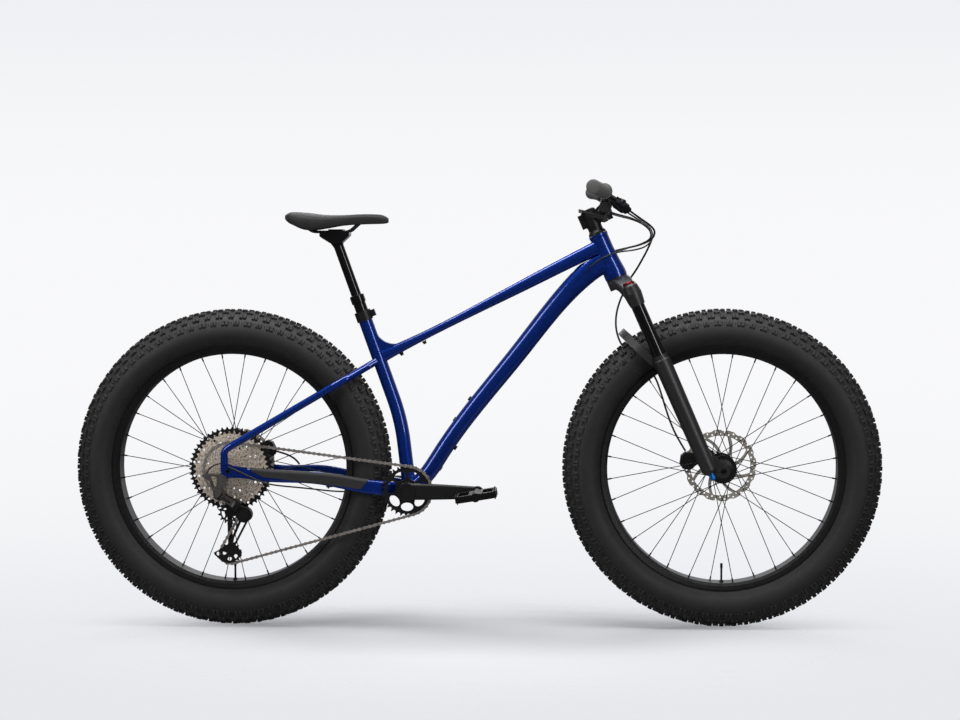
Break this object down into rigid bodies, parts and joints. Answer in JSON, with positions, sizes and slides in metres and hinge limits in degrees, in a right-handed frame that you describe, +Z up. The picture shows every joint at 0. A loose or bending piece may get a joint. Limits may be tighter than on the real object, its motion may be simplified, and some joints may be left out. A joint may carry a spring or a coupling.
{
  "type": "fat tire bike",
  "caption": "Hardtail fat tire bike with a suspension fork, disc brakes, a single chainring with a wide cassette, flat bar and dropper seat post.",
  "frame": {"origin": "on the ground midway between the two axles", "axes": "+X forward, +Y to the rider's left, +Z up; the drive side faces -Y"},
  "size_m": [2.0088, 0.787, 1.1023],
  "materials": {
    "blue_paint": "clear-coated metallic",
    "black_rubber": "matte",
    "soft_rubber": "matte",
    "black_alloy": "anodised",
    "black_paint": "satin",
    "spoke_steel": "black",
    "steel": "brushed",
    "cog_steel": "champagne nickel",
    "grey_plastic": "matte",
    "black_plastic": "matte",
    "saddle_cover": "matte synthetic",
    "red_alloy": "anodised",
    "blue_alloy": "anodised"
  },
  "bodies": {
    "frame": {"head_tube": "blue_paint", "top_tube": "blue_paint", "down_tube": "blue_paint", "seat_tube": "blue_paint", "bottom_bracket_shell": "blue_paint", "chain_stays": "blue_paint", "seat_stays": "blue_paint", "chainstay_guard": "grey_plastic", "seat_clamp": "black_alloy", "seatpost_outer": "black_alloy", "frame_bearings": "steel", "rear_axle": "black_alloy", "rear_caliper": "black_alloy", "chain": "steel", "control_cables": "soft_rubber", "derailleur_knuckle": "black_alloy"},
    "steering": {"fork_crown": "black_alloy", "stanchions": "black_alloy", "headset_spacers": "black_alloy", "stem": "black_alloy", "handlebar": "black_alloy", "grips": "soft_rubber", "brake_masters": "black_alloy", "shifter_body": "black_plastic", "front_brake_hose": "soft_rubber"},
    "fork_lowers": {"fork_lowers": "black_paint", "front_axle": "black_alloy", "front_caliper": "black_alloy"},
    "front_wheel": {"front_tire": "black_rubber", "front_rim": "black_alloy", "front_spokes": "spoke_steel", "front_hub": "black_alloy", "front_rotor": "steel"},
    "rear_wheel": {"rear_tire": "black_rubber", "rear_rim": "black_alloy", "rear_spokes": "spoke_steel", "rear_hub": "black_alloy", "rear_rotor": "steel"},
    "cassette": {"cassette": "cog_steel"},
    "crank": {"right_crank": "black_alloy", "left_crank": "black_alloy", "chainring": "black_alloy"},
    "right_pedal": {"right_pedal": "black_alloy"},
    "left_pedal": {"left_pedal": "black_alloy"},
    "seat": {"seatpost_inner": "black_alloy", "saddle_rails": "steel", "saddle": "saddle_cover"},
    "outer_link": {"outer_link": "black_alloy"},
    "inner_link": {"inner_link": "black_alloy"},
    "clutch_body": {"derailleur_clutch_body": "black_alloy"},
    "cage": {"derailleur_cage": "black_alloy"},
    "guide_pulley": {"guide_pulley": "black_plastic"},
    "tension_pulley": {"tension_pulley": "black_plastic"},
    "right_brake_lever": {"right_brake_lever": "black_alloy"},
    "left_brake_lever": {"left_brake_lever": "black_alloy"},
    "thumb_lever": {"thumb_lever": "black_plastic"},
    "release_lever": {"release_lever": "black_plastic"},
    "dropper_lever": {"dropper_lever": "black_plastic"},
    "compression_knob": {"compression_knob": "red_alloy"},
    "rebound_knob": {"rebound_knob": "blue_alloy"}
  },
  "joints": [
    {"name": "steering_turn", "type": "hinge", "parent": "frame", "child": "steering", "pos_m": [0.3463, 0, 0.86996], "axis": [-0.3987, 0, 0.9171], "range_deg": [-70, 70], "deforming": ["control_cables"]},
    {"name": "fork_travel", "type": "slide", "parent": "steering", "child": "fork_lowers", "axis": [-0.3987, 0, 0.9171], "range_m": [0, 0.1], "stiffness_N_per_m": 7000, "deforming": ["front_brake_hose"]},
    {"name": "front_wheel_spin", "type": "hinge", "parent": "fork_lowers", "child": "front_wheel", "pos_m": [0.608, 0, 0.396], "axis": [0, 1, 0], "continuous": true},
    {"name": "rear_wheel_spin", "type": "hinge", "parent": "frame", "child": "rear_wheel", "pos_m": [-0.608, 0, 0.396], "axis": [0, 1, 0], "continuous": true},
    {"name": "crank_spin", "type": "hinge", "parent": "frame", "child": "crank", "pos_m": [-0.169, 0, 0.345], "axis": [0, 1, 0], "continuous": true, "deforming": ["chain"]},
    {"name": "cassette_spin", "type": "hinge", "parent": "frame", "child": "cassette", "pos_m": [-0.608, 0, 0.396], "axis": [0, 1, 0], "continuous": true},
    {"name": "right_pedal_spin", "type": "hinge", "parent": "crank", "child": "right_pedal", "pos_m": [0.006, -0.112, 0.345], "axis": [0, 1, 0], "continuous": true},
    {"name": "left_pedal_spin", "type": "hinge", "parent": "crank", "child": "left_pedal", "pos_m": [-0.344, 0.112, 0.345], "axis": [0, 1, 0], "continuous": true},
    {"name": "seat_drop", "type": "slide", "parent": "frame", "child": "seat", "axis": [-0.3355, 0, 0.9421], "range_m": [-0.125, 0], "stiffness_N_per_m": 300, "springref_m": 0.5},
    {"name": "derailleur_shift", "type": "hinge", "parent": "frame", "child": "outer_link", "pos_m": [-0.627, -0.098, 0.333], "axis": [0.53, 0, 0.848], "range_deg": [-35, 0], "stiffness_Nm_per_rad": 3, "deforming": ["chain"]},
    {"name": "inner_link_swing", "type": "hinge", "parent": "frame", "child": "inner_link", "pos_m": [-0.627, -0.08, 0.333], "axis": [0.53, 0, 0.848], "range_deg": [-35, 0]},
    {"name": "clutch_body_swing", "type": "hinge", "parent": "outer_link", "child": "clutch_body", "pos_m": [-0.595, -0.098, 0.313], "axis": [0.53, 0, 0.848], "range_deg": [0, 35]},
    {"name": "cage_swing", "type": "hinge", "parent": "clutch_body", "child": "cage", "pos_m": [-0.571, -0.07, 0.286], "axis": [0, 1, 0], "range_deg": [-40, 8], "stiffness_Nm_per_rad": 2, "deforming": ["chain"]},
    {"name": "guide_pulley_spin", "type": "hinge", "parent": "cage", "child": "guide_pulley", "pos_m": [-0.61191, -0.06495, 0.28875], "axis": [0, 1, 0], "continuous": true},
    {"name": "tension_pulley_spin", "type": "hinge", "parent": "cage", "child": "tension_pulley", "pos_m": [-0.60971, -0.06495, 0.18738], "axis": [0, 1, 0], "continuous": true},
    {"name": "right_brake_pull", "type": "hinge", "parent": "steering", "child": "right_brake_lever", "pos_m": [0.34688, -0.21806, 1.05364], "axis": [0.5588, 0.036, 0.8285], "range_deg": [-20, 0], "stiffness_Nm_per_rad": 2},
    {"name": "left_brake_pull", "type": "hinge", "parent": "steering", "child": "left_brake_lever", "pos_m": [0.34688, 0.21806, 1.05364], "axis": [0.5588, -0.036, 0.8285], "range_deg": [0, 20], "stiffness_Nm_per_rad": 2},
    {"name": "thumb_push", "type": "hinge", "parent": "steering", "child": "thumb_lever", "pos_m": [0.31781, -0.188, 1.01694], "axis": [0.2419, 0, 0.9703], "range_deg": [-25, 0], "stiffness_Nm_per_rad": 0.5},
    {"name": "release_push", "type": "hinge", "parent": "steering", "child": "release_lever", "pos_m": [0.31781, -0.188, 1.01694], "axis": [0.2419, 0, 0.9703], "range_deg": [0, 15], "stiffness_Nm_per_rad": 0.5},
    {"name": "dropper_push", "type": "hinge", "parent": "steering", "child": "dropper_lever", "pos_m": [0.31781, 0.188, 1.01694], "axis": [0.2419, 0, 0.9703], "range_deg": [0, 25], "stiffness_Nm_per_rad": 0.5},
    {"name": "compression_turn", "type": "hinge", "parent": "steering", "child": "compression_knob", "pos_m": [0.37541, -0.087, 0.85317], "axis": [-0.3987, 0, 0.9171], "range_deg": [0, 90]},
    {"name": "rebound_turn", "type": "hinge", "parent": "fork_lowers", "child": "rebound_knob", "pos_m": [0.57598, -0.087, 0.39189], "axis": [-0.3987, 0, 0.9171], "range_deg": [0, 300]}
  ],
  "couplings": [
    {"joint": "cassette_spin", "follows": "crank_spin", "ratio": 0.90909},
    {"joint": "guide_pulley_spin", "follows": "crank_spin", "ratio": -2.3077},
    {"joint": "tension_pulley_spin", "follows": "crank_spin", "ratio": 2.3077},
    {"joint": "inner_link_swing", "follows": "derailleur_shift", "ratio": 1},
    {"joint": "clutch_body_swing", "follows": "derailleur_shift", "ratio": -1}
  ]
}
